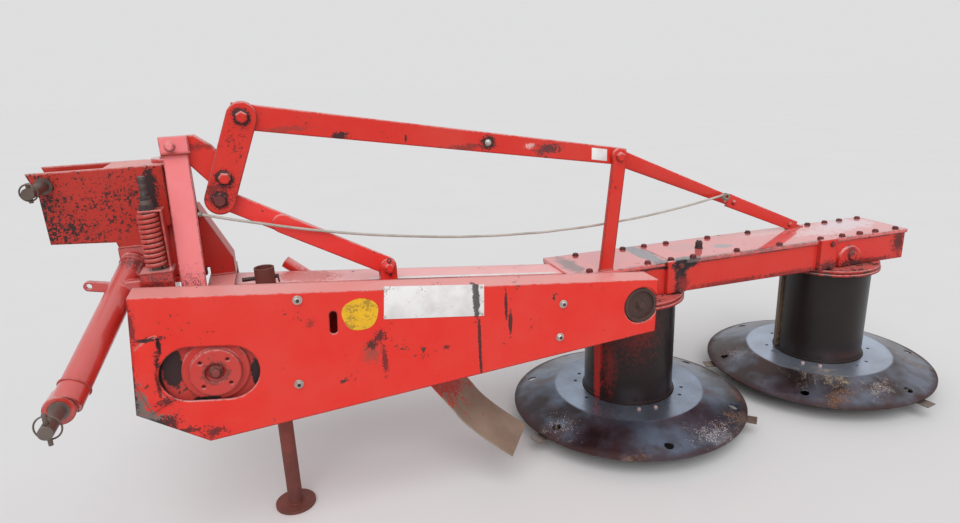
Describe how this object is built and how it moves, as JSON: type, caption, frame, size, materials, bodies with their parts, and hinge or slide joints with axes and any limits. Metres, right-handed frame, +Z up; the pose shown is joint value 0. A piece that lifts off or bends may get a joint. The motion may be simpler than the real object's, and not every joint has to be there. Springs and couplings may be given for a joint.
{
  "type": "two-drum rotary mower",
  "caption": "Tractor-carried rotary mower: headstock, swinging boom with belt guard and gear beam, drums with coned discs, skid dishes and a lift linkage.",
  "frame": {"origin": "on the ground, midway along the machine's length and on the hitch's centre plane", "axes": "+X from the hitch out along the boom, +Y away from the belt guard, +Z up"},
  "size_m": [2.789, 1.009, 1.112],
  "materials": {
    "red_paint": "faded gloss, chipped",
    "linkage_paint": "brushed-on gloss",
    "drum_paint": "grass-stained paint",
    "disc_steel": "worn and rust-flecked",
    "pin_steel": "bright where it rubs",
    "pulley_iron": "painted casting",
    "rusty_steel": "brown rust",
    "knife_steel": "ground edges",
    "belt_rubber": "matt",
    "rope_fibre": "laid cord"
  },
  "bodies": {
    "hitch": {"a_frame": "red_paint", "toplink_bracket": "red_paint", "kingpin": "pin_steel", "hitch_pin_near": "pin_steel", "hitch_pin_far": "pin_steel", "toplink_pin": "pin_steel", "release_spring": "red_paint", "spring_rod": "rusty_steel"},
    "swing_head": {"pivot_sleeve": "red_paint", "hinge_cheeks": "red_paint", "mast": "linkage_paint", "bent_arm": "linkage_paint"},
    "boom": {"inner_beam": "red_paint", "strut_lug": "linkage_paint", "guard_cover": "red_paint", "guard_back": "red_paint", "gear_beam": "red_paint", "gear_cover": "red_paint", "post": "linkage_paint", "long_brace": "linkage_paint", "rope": "rope_fibre", "swath_plate": "rusty_steel", "drive_belts": "belt_rubber", "leg_socket": "rusty_steel", "flange_inner": "red_paint", "flange_outer": "red_paint"},
    "lift_lever": {"lever": "linkage_paint"},
    "long_bar": {"long_bar": "linkage_paint"},
    "strut_upper": {"strut_upper": "linkage_paint"},
    "strut_lower": {"strut_lower": "linkage_paint"},
    "parking_leg": {"parking_leg": "rusty_steel"},
    "input_pulley": {"input_pulley": "pulley_iron"},
    "output_pulley": {"output_pulley": "pulley_iron"},
    "drum_inner": {"drum_inner": "drum_paint", "disc_inner": "disc_steel", "knives_inner": "knife_steel"},
    "drum_outer": {"drum_outer": "drum_paint", "disc_outer": "disc_steel", "knives_outer": "knife_steel"},
    "skid_inner": {"skid_inner": "disc_steel"},
    "skid_outer": {"skid_outer": "disc_steel"}
  },
  "joints": [
    {"name": "boom_swing", "type": "hinge", "parent": "hitch", "child": "swing_head", "pos_m": [-1.1015, 0, 0.8], "axis": [0, 0, 1], "range_deg": [0, 90]},
    {"name": "boom_float", "type": "hinge", "parent": "swing_head", "child": "boom", "pos_m": [-1.0395, 0, 0.515], "axis": [0, -1, 0], "range_deg": [0, 6], "deforming": ["rope"]},
    {"name": "lever_turn", "type": "hinge", "parent": "swing_head", "child": "lift_lever", "pos_m": [-0.9705, -0.07, 0.934], "axis": [0, -1, 0], "range_deg": [0, 22.86]},
    {"name": "bar_turn", "type": "hinge", "parent": "lift_lever", "child": "long_bar", "pos_m": [-0.9125, -0.07, 1.076], "axis": [0, -1, 0], "range_deg": [-17.01, 0]},
    {"name": "upper_strut_turn", "type": "hinge", "parent": "lift_lever", "child": "strut_upper", "pos_m": [-0.9885, -0.07, 0.881], "axis": [0, -1, 0], "range_deg": [-19.47, 0]},
    {"name": "lower_strut_turn", "type": "hinge", "parent": "boom", "child": "strut_lower", "pos_m": [-0.5895, -0.07, 0.657], "axis": [0, -1, 0], "range_deg": [-2.81, 0]},
    {"name": "leg_slide", "type": "slide", "parent": "boom", "child": "parking_leg", "axis": [0, 0, 1], "range_m": [0, 0.22]},
    {"name": "drum_inner_spin", "type": "hinge", "parent": "boom", "child": "drum_inner", "pos_m": [0.2085, 0, 0.25], "axis": [0, 0, 1], "continuous": true},
    {"name": "drum_outer_spin", "type": "hinge", "parent": "boom", "child": "drum_outer", "pos_m": [1.0085, 0, 0.25], "axis": [0, 0, 1], "continuous": true},
    {"name": "output_pulley_spin", "type": "hinge", "parent": "boom", "child": "output_pulley", "pos_m": [0.0785, -0.2, 0.5115], "axis": [0, 1, 0], "continuous": true},
    {"name": "input_pulley_spin", "type": "hinge", "parent": "boom", "child": "input_pulley", "pos_m": [-1.0395, -0.2, 0.515], "axis": [0, 1, 0], "continuous": true},
    {"name": "skid_inner_spin", "type": "hinge", "parent": "boom", "child": "skid_inner", "pos_m": [0.2085, 0, 0.02], "axis": [0, 0, 1], "continuous": true},
    {"name": "skid_outer_spin", "type": "hinge", "parent": "boom", "child": "skid_outer", "pos_m": [1.0085, 0, 0.02], "axis": [0, 0, 1], "continuous": true}
  ],
  "couplings": [
    {"joint": "lever_turn", "follows": "boom_float", "ratio": 3.7763},
    {"joint": "bar_turn", "follows": "boom_float", "ratio": -2.8012},
    {"joint": "upper_strut_turn", "follows": "boom_float", "ratio": -3.2111},
    {"joint": "lower_strut_turn", "follows": "boom_float", "ratio": -0.4348},
    {"joint": "drum_outer_spin", "follows": "drum_inner_spin", "ratio": -1},
    {"joint": "output_pulley_spin", "follows": "drum_inner_spin", "ratio": 0.625},
    {"joint": "input_pulley_spin", "follows": "drum_inner_spin", "ratio": 0.23305}
  ]
}
